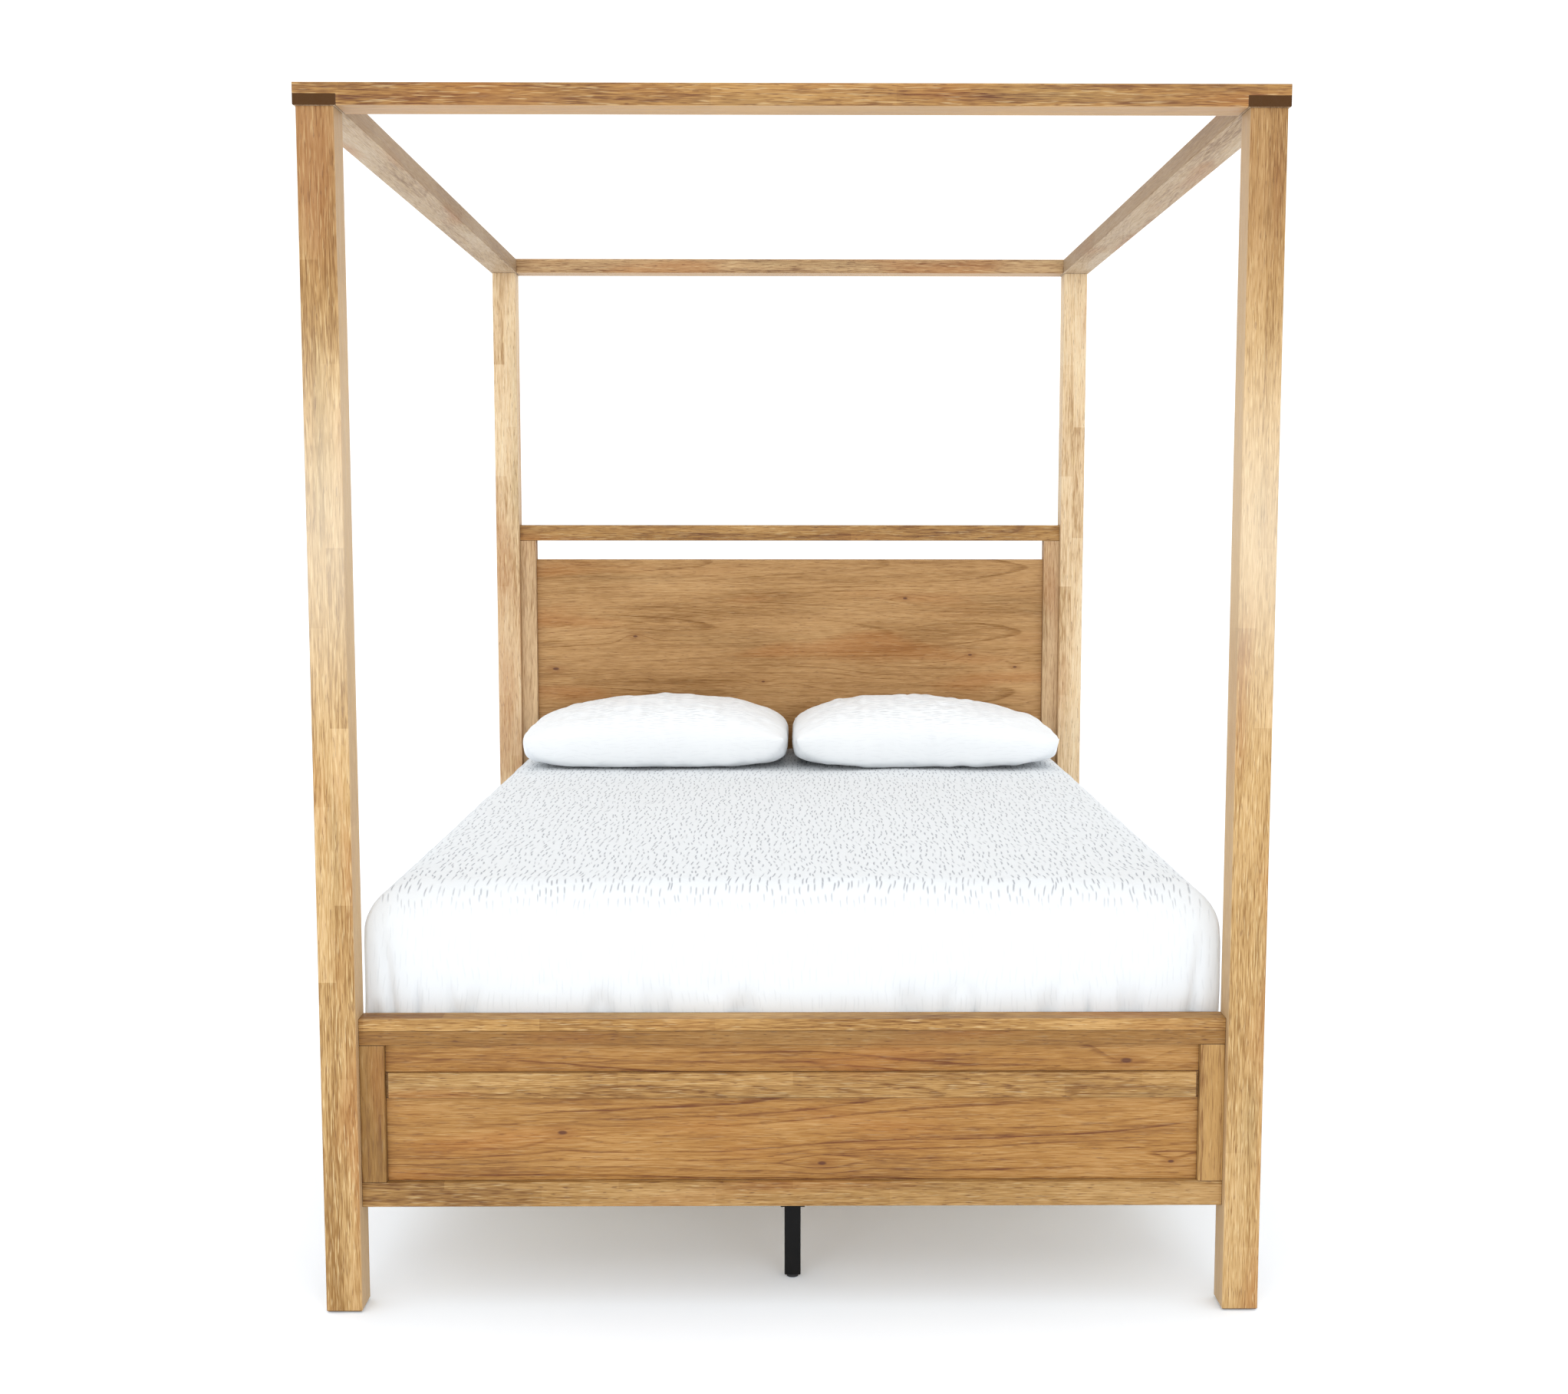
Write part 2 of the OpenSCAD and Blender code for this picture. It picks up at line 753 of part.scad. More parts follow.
post(-1, -1);  // front_left_post
post(1, -1);  // front_right_post
post(-1, 1);  // rear_left_post
post(1, 1);  // rear_right_post
canopy_cross_rail(-1);  // canopy_front_rail
canopy_cross_rail(1);  // canopy_rear_rail
canopy_long_rail(-1);  // canopy_left_rail
canopy_long_rail(1);  // canopy_right_rail
canopy_bolts();
canopy_inserts();
headboard_top_rail();
headboard_bottom_rail();
headboard_stile(-1);  // headboard_left_stile
headboard_stile(1);  // headboard_right_stile
headboard_panel();
rear_stretcher();
footboard_cap();
footboard_top_rail();
footboard_bottom_rail();
footboard_stile(-1);  // footboard_left_stile
footboard_stile(1);  // footboard_right_stile
footboard_panel();
footboard_batten();
frame_dowels();
side_rail(-1);  // left_side_rail
side_rail(1);  // right_side_rail
slat_ledge(-1);  // left_slat_ledge
slat_ledge(1);  // right_slat_ledge
rail_hook_plates();
post_slot_plates();
frame_screws();
for (i = [1 : slat_count]) slat(i);
slat_screws();
centre_beam();
beam_hangers();
centre_leg(leg_y[0]);  // front_centre_leg
centre_leg(leg_y[1]);  // middle_centre_leg
centre_leg(leg_y[2]);  // rear_centre_leg
leg_plugs();
foot_stem(leg_y[0]);  // front_foot_stem
foot_stem(leg_y[1]);  // middle_foot_stem
foot_stem(leg_y[2]);  // rear_foot_stem
foot_pad(leg_y[0]);  // front_foot_pad
foot_pad(leg_y[1]);  // middle_foot_pad
foot_pad(leg_y[2]);  // rear_foot_pad
post_glides();
foundation();
mattress();
coverlet();
pillow(-1);  // left_pillow
pillow(1);  // right_pillow
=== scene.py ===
"""The four poster bed: materials for its CAD boards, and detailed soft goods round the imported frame."""
import math

import bmesh
import bpy
import numpy as np
from mathutils import Matrix, Vector


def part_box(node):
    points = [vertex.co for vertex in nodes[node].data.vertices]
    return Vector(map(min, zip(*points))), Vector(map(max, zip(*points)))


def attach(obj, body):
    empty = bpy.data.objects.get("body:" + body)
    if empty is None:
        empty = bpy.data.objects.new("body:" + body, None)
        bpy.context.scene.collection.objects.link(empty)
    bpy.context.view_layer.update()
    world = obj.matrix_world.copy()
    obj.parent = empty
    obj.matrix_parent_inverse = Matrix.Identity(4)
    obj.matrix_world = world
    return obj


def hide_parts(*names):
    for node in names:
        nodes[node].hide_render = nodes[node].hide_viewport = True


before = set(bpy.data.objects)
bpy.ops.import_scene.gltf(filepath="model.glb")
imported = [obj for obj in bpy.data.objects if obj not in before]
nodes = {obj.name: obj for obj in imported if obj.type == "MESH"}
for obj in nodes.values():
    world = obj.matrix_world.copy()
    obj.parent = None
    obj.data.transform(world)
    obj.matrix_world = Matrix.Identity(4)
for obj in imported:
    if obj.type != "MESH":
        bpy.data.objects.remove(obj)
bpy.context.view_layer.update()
scene = bpy.context.scene


# ---- Shader helpers ----

class Graph:
    """Short calls for a material's node tree. A value is a number, a tuple or a socket."""

    def __init__(self, name):
        self.material = bpy.data.materials.new(name)
        self.material.use_nodes = True
        self.tree = self.material.node_tree
        self.tree.nodes.clear()
        self.shader = self.tree.nodes.new("ShaderNodeBsdfPrincipled")
        output = self.tree.nodes.new("ShaderNodeOutputMaterial")
        self.tree.links.new(self.shader.outputs[0], output.inputs[0])

    def put(self, socket, value):
        if isinstance(value, bpy.types.NodeSocket):
            self.tree.links.new(value, socket)
        else:
            socket.default_value = value

    def node(self, kind, inputs=(), **settings):
        made = self.tree.nodes.new(kind)
        for key, value in settings.items():
            setattr(made, key, value)
        for key, value in dict(inputs).items():
            self.put(made.inputs[key], value)
        return made

    def math(self, operation, a, b=0.0, c=0.0):
        made = self.node("ShaderNodeMath", {0: a, 1: b, 2: c}, operation=operation)
        return made.outputs[0]

    def add(self, a, b):
        return self.math("ADD", a, b)

    def sub(self, a, b):
        return self.math("SUBTRACT", a, b)

    def mul(self, a, b):
        return self.math("MULTIPLY", a, b)

    def place(self):
        """The object's own coordinates, in metres, as x, y and z."""
        coords = self.node("ShaderNodeTexCoord").outputs["Object"]
        return list(self.node("ShaderNodeSeparateXYZ", {0: coords}).outputs)

    def vector(self, x, y, z):
        return self.node("ShaderNodeCombineXYZ", {0: x, 1: y, 2: z}).outputs[0]

    def noise(self, vector, scale=1.0, detail=2.0, rough=0.5, warp=0.0):
        made = self.node("ShaderNodeTexNoise", {"Vector": vector, "Scale": scale, "Detail": detail,
                                                "Roughness": rough, "Distortion": warp})
        return made.outputs[0]

    def map(self, value, low, high, to_low=0.0, to_high=1.0, smooth=True):
        made = self.node("ShaderNodeMapRange", {"Value": value, "From Min": low, "From Max": high,
                                                "To Min": to_low, "To Max": to_high})
        made.interpolation_type = "SMOOTHSTEP" if smooth else "LINEAR"
        return made.outputs[0]

    def ramp(self, value, stops, seen=None):
        made = self.node("ShaderNodeValToRGB", {0: value})
        colours = made.color_ramp.elements
        while len(colours) < len(stops):
            colours.new(0.5)
        for element, (where, colour) in zip(colours, stops):
            element.position = where
            element.color = seen(colour) if seen else (*linear(colour), 1)
        return made.outputs[0]

    def mix(self, share, a, b, how="MIX"):
        made = self.node("ShaderNodeMix", data_type="RGBA", blend_type=how)
        self.put(made.inputs[0], share)
        self.put(made.inputs[6], a)
        self.put(made.inputs[7], b)
        return made.outputs[2]

    def bump(self, height, distance, strength=1.0):
        made = self.node("ShaderNodeBump", {"Height": height, "Distance": distance, "Strength": strength})
        self.put(self.shader.inputs["Normal"], made.outputs[0])

    def finish(self, colour, rough, **settings):
        self.put(self.shader.inputs["Base Color"], colour)
        self.put(self.shader.inputs["Roughness"], rough)
        for key, value in settings.items():
            self.put(self.shader.inputs[key.replace("_", " ")], value)
        return self.material


def linear(colour):
    """An sRGB colour in 0 to 255, as linear light."""
    darkest = 11
    return tuple(c / 255 / 12.92 if c < darkest else ((c / 255 + 0.055) / 1.055) ** 2.4 for c in colour)


# ---- Wood ----

# The linear light that the oil's gloss adds to every colour under the studio lights
GLOSS = 0.038
# The darkest linear base colour that any wood may have
DARKEST = 0.004

# Tints in all the wood, in sRGB
RED_STREAK = (178, 116, 68)
GREY_STREAK = (150, 138, 104)
OPEN_PORE = (104, 68, 36)
RAISED_GRAIN = (244, 216, 166)
# Painted highlight: the pale sheen band round the middle of a post
PAINTED_SHEEN = (248, 236, 214)
KNOT_HALO = (138, 90, 48)
KNOT_CORE = (88, 54, 30)
# Dark joint lines, partly the joint's own colour and partly painted shade where a board sits back
JOINT_LINE_AND_SHADE = (72, 40, 26)
SAWN_END = (92, 72, 34)
# Painted shade on the tops of the posts: what they are multiplied by, in linear light, and between
# which heights that sets in
POST_TOP = (0.70, 0.61, 0.52, 1)
POST_TOP_FROM = 1.60
POST_TOP_FULL = 1.95


class Timber:
    """What one kind of board looks like, in sRGB colours as the studio light shows them.

    light, mid, dark: the three tones of the grain, and shade scales them all. ring: metres from one growth
    ring to the next, and rings is how strong they are. pores, brushed, blocks: how strong the dark pores, the
    brushed fibres and the finger-jointed blocks are. stave, depth: how wide the staves are and how deep the
    heart lies, in metres. glow: (height, half width, share) of a painted highlight, a pale band of painted
    sheen round the middle of a post, which also brings in painted shade on the post's top. side: a painted
    tone for how the light falls on the faces that look along the board's thinnest direction (side_is 0) or
    its middle one (side_is 1).
    gloss: the specular level."""

    def __init__(self, light, mid, dark, shade=1.0, ring=0.012, rings=0.5, pores=0.5, brushed=0.5, blocks=0.0,
                 stave=0.4, depth=0.05, glow=None, side=None, side_is=1, gloss=0.35):
        self.light = light
        self.mid = mid
        self.dark = dark
        self.shade = shade
        self.ring = ring
        self.rings = rings
        self.pores = pores
        self.brushed = brushed
        self.blocks = blocks
        self.stave = stave
        self.depth = depth
        self.glow = glow
        self.side = side
        self.side_is = side_is
        self.gloss = gloss

    def like(self, **changes):
        """The same timber with some of its settings changed."""
        return Timber(**{**vars(self), **changes})

    def seen(self, colour):
        """The base colour that looks like this one once the oil's own gloss is added."""
        return (*[max(DARKEST, (c - GLOSS) * self.shade) for c in linear(colour)], 1)


PANEL = Timber((204, 160, 106), (176, 130, 78), (126, 84, 44), shade=0.80, ring=0.013, rings=1.0, pores=0.7,
               brushed=0.2, stave=0.26)
HEAD = Timber((208, 168, 120), (182, 142, 97), (140, 102, 64), shade=0.90, ring=0.008, rings=0.8, pores=0.7,
              brushed=0.2, stave=0.19)
RAIL = Timber((202, 160, 106), (172, 131, 84), (112, 76, 42), shade=0.84, ring=0.006, rings=0.5, pores=1.0,
              brushed=0.5, blocks=0.6, stave=0.2, depth=0.09)
CAP = Timber((218, 176, 120), (188, 146, 92), (132, 92, 50), shade=0.80, ring=0.006, rings=0.45, pores=1.0,
             brushed=0.6, blocks=0.6, stave=0.2, depth=0.09)
# A side tone is painted light and shade: one pair of a board's faces is made paler or darker for how the
# light falls on them
SIDE = Timber((214, 194, 168), (196, 170, 140), (150, 122, 96), shade=0.92, ring=0.008, rings=0.4, pores=0.4,
              brushed=0.4, blocks=0.6, stave=0.2, depth=0.08, side=(142, 117, 92), gloss=0.15)
# The posts carry a painted highlight band (glow) and painted shade on their tops
POST = Timber((226, 192, 144), (203, 166, 114), (158, 120, 76), shade=0.82, ring=0.008, rings=0.3, pores=0.7,
              brushed=0.9, blocks=0.9, stave=0.2, depth=0.10, glow=(1.38, 0.44, 0.38), side=(214, 184, 146))
REAR = Timber((244, 222, 186), (230, 200, 160), (184, 148, 106), shade=0.86, ring=0.008, rings=0.3, pores=0.7,
              brushed=0.7, blocks=0.7, stave=0.2, depth=0.10)
STILE = Timber((196, 156, 104), (170, 130, 80), (122, 84, 46), shade=0.67, ring=0.009, rings=0.7, pores=0.5,
               brushed=0.2, blocks=0.3, stave=0.2, depth=0.06)
PALE = Timber((226, 196, 156), (208, 176, 138), (160, 124, 86), shade=0.90, ring=0.009, rings=0.5, pores=0.5,
              brushed=0.5, blocks=0.3, stave=0.2, depth=0.06)
PINE = Timber((232, 206, 160), (222, 190, 138), (190, 142, 88), shade=0.9, ring=0.012, rings=0.9, pores=0.0,
              brushed=0.1, stave=0.2, depth=0.04)
BEECH = Timber((222, 186, 146), (210, 170, 128), (186, 142, 100), shade=0.9, ring=0.004, rings=0.2, pores=0.6,
               brushed=0.0, stave=0.2, depth=0.06)
CANOPY_FRONT = RAIL.like(side=(232, 194, 150), side_is=0, blocks=0.3)
CANOPY_REAR = CANOPY_FRONT.like(mid=(188, 152, 112), light=(214, 180, 136))
FOOT_TOP = RAIL.like(mid=(178, 130, 76), light=(200, 154, 98), brushed=0.3, shade=0.57)
FOOT_BOTTOM = CAP.like(shade=0.66)
BATTEN = CAP.like(shade=0.72)
RIGHT_STILE = STILE.like(mid=(180, 143, 94), shade=0.93)


def knot_fields(g, along, across, knots):
    """Round each knot: how far it pushes the rings away, its dark core, and the stain round it. A knot is
    (place along the board, place across it, radius)."""
    stretch = 0.45
    push = 0.0
    core = 0.0
    halo = 0.0
    for knot_along, knot_across, size in knots:
        da = g.mul(g.sub(along, knot_along), stretch)
        dc = g.sub(across, knot_across)
        far = g.math("SQRT", g.add(g.mul(da, da), g.mul(dc, dc)))
        push = g.add(push, g.map(far, 0.0, size * 5, size * 1.5, 0.0))
        core = g.math("MAXIMUM", core, g.map(far, size * 0.22, size * 0.50, 1.0, 0.0))
        halo = g.math("MAXIMUM", halo, g.map(far, size * 0.5, size * 1.8, 1.0, 0.0))
    return push, core, halo


def darken_seams(g, colour, timber, place, normal, seams):
    """Draws thin dark lines at the joints: partly the joint's own dark line, and partly painted shade where a
    board sits back from its neighbour. A seam is (axis, where), with a third number where it stops at a
    height."""
    solid_to = 0.0003
    faint_to = 0.0011
    for axis, where, *ceiling in seams:
        near = g.math("ABSOLUTE", g.sub(place[axis], where))
        # A face that lies in the joint itself stays clear of the dark line
        beside = g.map(g.math("ABSOLUTE", normal[axis]), 0.4, 0.7, 0.8, 0.0)
        line = g.mul(g.map(near, solid_to, faint_to, 1.0, 0.0), beside)
        if ceiling:
            line = g.mul(line, g.map(place[2], ceiling[0] - 0.001, ceiling[0], 1.0, 0.0))
        colour = g.mix(line, colour, timber.seen(JOINT_LINE_AND_SHADE))
    return colour


def wood(node, timber, seed, seams=(), knots=()):
    """Brushed, oiled wood whose grain runs along the board, with its joint lines and knots, and the painted
    light and shade that its timber asks for.
    """
    g = Graph(node)
    low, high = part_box(node)
    by_size = sorted(range(3), key=lambda axis: (round(high[axis] - low[axis], 3), -axis))
    deep_axis, across_axis, along = by_size
    place = g.place()
    length = g.sub(place[along], (low[along] + high[along]) / 2)
    across = g.sub(place[across_axis], (low[across_axis] + high[across_axis]) / 2)
    deep = g.sub(place[deep_axis], low[deep_axis])
    normal = g.node("ShaderNodeSeparateXYZ", {0: g.node("ShaderNodeTexCoord").outputs["Normal"]}).outputs
    shift = 7.31 * seed

    def grain(along_rate, across_rate, detail=1.0, offset=0.0):
        """Noise with so many lumps a metre along the board and across it."""
        spot = g.vector(g.mul(length, along_rate), g.mul(across, across_rate),
                        g.add(g.mul(deep, across_rate), shift + offset))
        return g.noise(spot, 1.0, detail)

    # The heart of the tree runs behind the board and a little askew, which draws arcs on its face
    bend = g.mul(g.sub(grain(1.3, 4.0), 0.5), 0.10)
    wobble = g.mul(g.sub(grain(4.5, 14.0, 2.0, 3.0), 0.5), 0.007)
    first_stave = 10.0 + 0.37 * timber.stave * math.sin(seed)
    folded = g.math("PINGPONG", g.add(g.add(across, bend), first_stave), timber.stave)
    from_heart = g.sub(folded, timber.stave * 0.5)
    tilt = 0.045
    heart_depth = g.add(deep, g.add(g.mul(length, tilt), timber.depth))
    push, core, halo = knot_fields(g, place[along], place[across_axis], knots)
    radius = g.math("SQRT", g.add(g.mul(from_heart, from_heart), g.mul(heart_depth, heart_depth)))
    radius = g.add(g.add(radius, wobble), push)
    turn = g.math("FRACT", g.math("DIVIDE", radius, timber.ring))
    late = g.mul(g.map(turn, 0.62, 0.93), g.map(turn, 0.93, 1.0, 1.0, 0.0))
    fat = g.noise(g.vector(g.mul(length, 1.2), g.mul(radius, 70.0), shift), 1.0, 1.0)
    late = g.mul(late, g.map(fat, 0.38, 0.66, 0.08, 1.0))
    # Brushed fibres, dark pores that crowd beside the rings, and cream where the brush left the hard grain
    fibre = grain(26.0, 560.0, 2.0)
    streak = grain(5.0, 150.0, 2.0, 1.0)
    band = grain(2.2, 34.0, 1.0, 2.0)
    pore = grain(46.0, 520.0, 1.0, 4.0)
    cream = grain(26.0, 430.0, 1.0, 5.0)
    cloud = grain(2.6, 7.0, 1.0, 6.0)
    tone = g.add(0.5, g.mul(g.sub(fibre, 0.5), 0.75 + 0.9 * timber.brushed))
    tone = g.add(tone, g.mul(g.sub(streak, 0.5), 0.50 + 0.25 * timber.brushed))
    tone = g.add(tone, g.mul(g.sub(band, 0.5), 0.45))
    tone = g.add(tone, g.mul(g.sub(cloud, 0.5), 0.55))
    tone = g.sub(tone, g.mul(late, 0.34 * timber.rings))
    if timber.blocks:
        block_width = 0.034
        block_length = 0.31
        stagger = 0.173
        strip = g.math("FLOOR", g.math("DIVIDE", g.add(across, g.mul(deep, 0.7)), block_width))
        cell = g.math("FLOOR", g.math("DIVIDE", g.add(length, g.mul(strip, stagger)), block_length))
        pick = g.node("ShaderNodeTexWhiteNoise", {0: g.vector(strip, cell, shift)}, noise_dimensions="3D")
        tone = g.add(tone, g.mul(g.sub(pick.outputs[0], 0.5), 0.42 * timber.blocks))
    colour = g.ramp(tone, [(0.10, timber.dark), (0.50, timber.mid), (0.90, timber.light)], timber.seen)
    reddish = g.map(grain(2.4, 13.0, 1.0, 7.0), 0.52, 0.74, 0.0, 0.40)
    colour = g.mix(reddish, colour, timber.seen(RED_STREAK))
    greyish = g.map(grain(2.0, 19.0, 1.0, 8.0), 0.56, 0.76, 0.0, 0.34 * timber.brushed)
    colour = g.mix(greyish, colour, timber.seen(GREY_STREAK))
    dash = g.mul(g.map(pore, 0.60, 0.70), g.map(turn, 0.15, 0.75, 0.35, 1.0))
    colour = g.mix(g.mul(dash, 0.62 * timber.pores), colour, timber.seen(OPEN_PORE))
    colour = g.mix(g.map(cream, 0.58, 0.72, 0.0, 0.60 * timber.brushed), colour, timber.seen(RAISED_GRAIN))
    # Painted highlight: a pale band of painted sheen round the middle of a post, then painted shade that
    # darkens its top
    if timber.glow:
        centre, half_width, share = timber.glow
        near = g.math("ABSOLUTE", g.sub(place[2], centre))
        colour = g.mix(g.map(near, 0.0, half_width, share, 0.0), colour, timber.seen(PAINTED_SHEEN))
        colour = g.mix(g.map(place[2], POST_TOP_FROM, POST_TOP_FULL), colour, POST_TOP, "MULTIPLY")
    # Painted light and shade: the faces that look along one axis take their own tone, for how the light falls
    # on them
    if timber.side:
        face_light_share = g.map(g.math("ABSOLUTE", normal[by_size[timber.side_is]]), 0.6, 0.8, 0.0, 0.6)
        colour = g.mix(face_light_share, colour, timber.seen(timber.side))
    if knots:
        colour = g.mix(g.mul(halo, 0.30), colour, timber.seen(KNOT_HALO))
        colour = g.mix(g.mul(core, 0.75), colour, timber.seen(KNOT_CORE))
    # Dark joint lines, partly the joint's own colour and partly painted shade where a board sits back from
    # its neighbour
    colour = darken_seams(g, colour, timber, place, normal, seams)
    sawn = g.map(g.math("ABSOLUTE", normal[along]), 0.6, 0.8)
    colour = g.mix(sawn, colour, timber.seen(SAWN_END))
    height = g.sub(g.add(g.mul(fibre, 0.6), g.mul(streak, 0.4)), g.add(g.mul(late, 0.3), g.mul(dash, 0.5)))
    g.bump(height, 0.0006, 0.45)
    return g.finish(colour, g.map(streak, 0.3, 0.7, 0.48, 0.64), Specular_IOR_Level=timber.gloss)


# ---- Metal and plastic ----

def powder_coat(name):
    """Black powder coat on steel, with a fine orange peel."""
    g = Graph(name)
    x, y, z = g.place()
    peel = g.noise(g.vector(x, y, z), 1400.0, 2.0)
    dust = g.noise(g.vector(x, y, z), 35.0, 3.0)
    g.bump(peel, 0.00008, 0.5)
    colour = g.ramp(dust, [(0.3, (8, 8, 8)), (0.7, (15, 14, 14))])
    return g.finish(colour, g.map(dust, 0.3, 0.7, 0.42, 0.55), Specular_IOR_Level=0.16)


def zinc(name):
    """Bright zinc plating with soft blotches."""
    g = Graph(name)
    x, y, z = g.place()
    blotch = g.noise(g.vector(x, y, z), 260.0, 3.0)
    g.bump(blotch, 0.00005, 0.4)
    colour = g.ramp(blotch, [(0.3, (168, 170, 168)), (0.7, (206, 208, 204))])
    return g.finish(colour, g.map(blotch, 0.3, 0.7, 0.26, 0.42), Metallic=1.0)


def moulded_plastic(name):
    """Black moulded plastic with a light spark grain."""
    g = Graph(name)
    x, y, z = g.place()
    grain = g.noise(g.vector(x, y, z), 2400.0, 1.0)
    cloud = g.noise(g.vector(x, y, z), 60.0, 2.0)
    g.bump(grain, 0.00005, 0.5)
    colour = g.ramp(cloud, [(0.3, (22, 22, 23)), (0.7, (34, 34, 35))])
    return g.finish(colour, g.map(grain, 0.3, 0.7, 0.42, 0.58))


# ---- Fabric ----

def seersucker(name, seed, across_gap, along_gap, turned, calm, high, low):
    """White crinkle cotton: a fine weave, and staggered puckers that show as short grey dashes of painted
    shade as well as dents in the bump. The dashes run along y and z, or along x if turned. They are full
    above calm's second height, and faint below its first. high and low are the tones of the cloth and of a
    dash's painted shade."""
    g = Graph(name)
    x, y, z = g.place()
    normal = g.node("ShaderNodeSeparateXYZ", {0: g.node("ShaderNodeTexCoord").outputs["Normal"]}).outputs
    side = g.map(g.math("ABSOLUTE", normal[0]), 0.5, 0.8)
    flat = g.sub(1.0, side)
    if turned:
        across = g.add(y, z)
        along = x
    else:
        across = g.add(g.mul(x, flat), g.mul(z, side))
        along = g.add(y, g.mul(z, flat))
    sway = g.sub(g.noise(g.vector(x, y, g.add(z, seed)), 9.0, 2.0), 0.5)
    column = g.math("DIVIDE", g.add(across, g.mul(sway, 0.030)), across_gap)
    row = g.math("DIVIDE", g.add(along, g.mul(sway, 0.05)), along_gap)
    cell = g.node("ShaderNodeTexVoronoi", {"Vector": g.vector(column, row, seed), "Scale": 1.0,
                                           "Randomness": 0.72}, voronoi_dimensions="2D").outputs["Position"]
    centre = g.node("ShaderNodeSeparateXYZ", {0: cell}).outputs
    off_x = g.math("ABSOLUTE", g.sub(column, centre[0]))
    off_y = g.math("ABSOLUTE", g.sub(row, centre[1]))
    live = g.noise(g.vector(g.mul(x, 30.0), g.mul(y, 12.0), g.add(g.mul(z, 12.0), seed)), 1.0, 1.0)
    dash = g.mul(g.map(off_x, 0.03, 0.15, 1.0, 0.0), g.map(off_y, 0.15, 0.47, 1.0, 0.0))
    dash = g.mul(dash, g.map(live, 0.25, 0.55, 0.35, 1.0))
    dash = g.mul(dash, g.map(z, calm[0], calm[1], 0.12, 1.0))
    soft = g.noise(g.vector(g.mul(x, 60.0), g.mul(y, 24.0), g.add(g.mul(z, 24.0), seed)), 1.0, 2.0)
    per_thread = 2 * math.pi / 0.0011
    warp = g.math("SINE", g.mul(g.add(x, z), per_thread))
    weft = g.math("SINE", g.mul(g.add(y, z), per_thread))
    thread = g.mul(warp, weft)
    height = g.sub(g.add(g.mul(soft, 0.25), g.mul(thread, 0.02)), dash)
    g.bump(height, 0.0016, 0.6)
    # Painted shade: each pucker's dash darkens the cloth's colour
    colour = g.mix(g.mul(dash, 0.8), (*linear(high), 1), (*linear(low), 1))
    return g.finish(colour, 0.86, Sheen_Weight=0.12, Sheen_Roughness=0.5, Specular_IOR_Level=0.2)


def ticking(name):
    """Off-white quilted mattress ticking with a narrow woven stripe."""
    g = Graph(name)
    x, y, z = g.place()
    rib_gap = 0.0016
    stripe_gap = 0.046
    rib = g.math("SINE", g.mul(g.add(x, y), 2 * math.pi / rib_gap))
    stripe = g.map(g.math("SINE", g.mul(g.add(x, y), 2 * math.pi / stripe_gap)), 0.86, 0.97, 0.0, 0.35)
    cloud = g.noise(g.vector(x, y, z), 9.0, 3.0)
    colour = g.ramp(cloud, [(0.3, (216, 212, 203)), (0.7, (230, 227, 219))])
    colour = g.mix(stripe, colour, (*linear((176, 178, 180)), 1))
    g.bump(rib, 0.0003, 0.5)
    return g.finish(colour, 0.9, Sheen_Weight=0.1, Sheen_Roughness=0.5)


# ---- Boards ----

def paint(node, material):
    """Gives a CAD node one material."""
    mesh = nodes[node].data
    mesh.materials.clear()
    mesh.materials.append(material)


def edge(node, axis, side):
    """The low (0) or high (1) end of a CAD node's box along an axis."""
    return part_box(node)[side][axis]


def both_edges(node, axis):
    """A seam at each end of a CAD node's box along an axis."""
    return [(axis, edge(node, axis, side)) for side in (0, 1)]


def paint_board(node, timber, seed, seams=(), knots=()):
    paint(node, wood(node, timber, seed, seams, knots))


def paint_posts():
    for index, side in enumerate(("left", "right")):
        top = [(2, edge(f"front_{side}_post", 2, 1))]
        paint_board(f"front_{side}_post", POST, 2.0 + index, top)
        paint_board(f"rear_{side}_post", REAR, 4.0 + index, top)


def paint_canopy():
    """The cross rails lie on the side rails in half laps, so the joint line stops halfway up them."""
    lap = (edge("canopy_front_rail", 2, 0) + edge("canopy_front_rail", 2, 1)) / 2
    corners = [(0, edge("canopy_left_rail", 0, 1), lap), (0, edge("canopy_right_rail", 0, 0), lap)]
    paint_board("canopy_front_rail", CANOPY_FRONT, 11.0, corners)
    paint_board("canopy_rear_rail", CANOPY_REAR, 12.0, corners)
    paint_board("canopy_left_rail", SIDE, 14.0)
    paint_board("canopy_right_rail", SIDE, 15.0)


def paint_end_frame(board, panel, top_rail, bottom_rail, stiles, seed, panel_seams, knots):
    """The footboard's or the headboard's rails, stiles and panel, with a joint line wherever they meet."""
    low = edge(f"{board}_bottom_rail", 2, 1)
    high = edge(f"{board}_top_rail", 2, 0)
    left = edge(f"{board}_left_stile", 0, 1)
    right = edge(f"{board}_right_stile", 0, 0)
    posts = [(0, edge("front_left_post", 0, 1)), (0, edge("front_right_post", 0, 0))]
    inside = [(0, left), (0, right), (2, low), *panel_seams]
    paint_board(f"{board}_panel", panel, 31.0 + 2 * seed, inside, knots)
    paint_board(f"{board}_top_rail", top_rail, 20.0 + seed, posts + both_edges(f"{board}_top_rail", 2))
    paint_board(f"{board}_bottom_rail", bottom_rail, 23.0 + seed, posts + [(2, low)])
    for turn, side in enumerate(("left", "right")):
        rim = both_edges(f"{board}_{side}_stile", 0) + [(2, low), (2, high)]
        paint_board(f"{board}_{side}_stile", stiles[turn], 26.0 + seed * 2 + turn, rim)


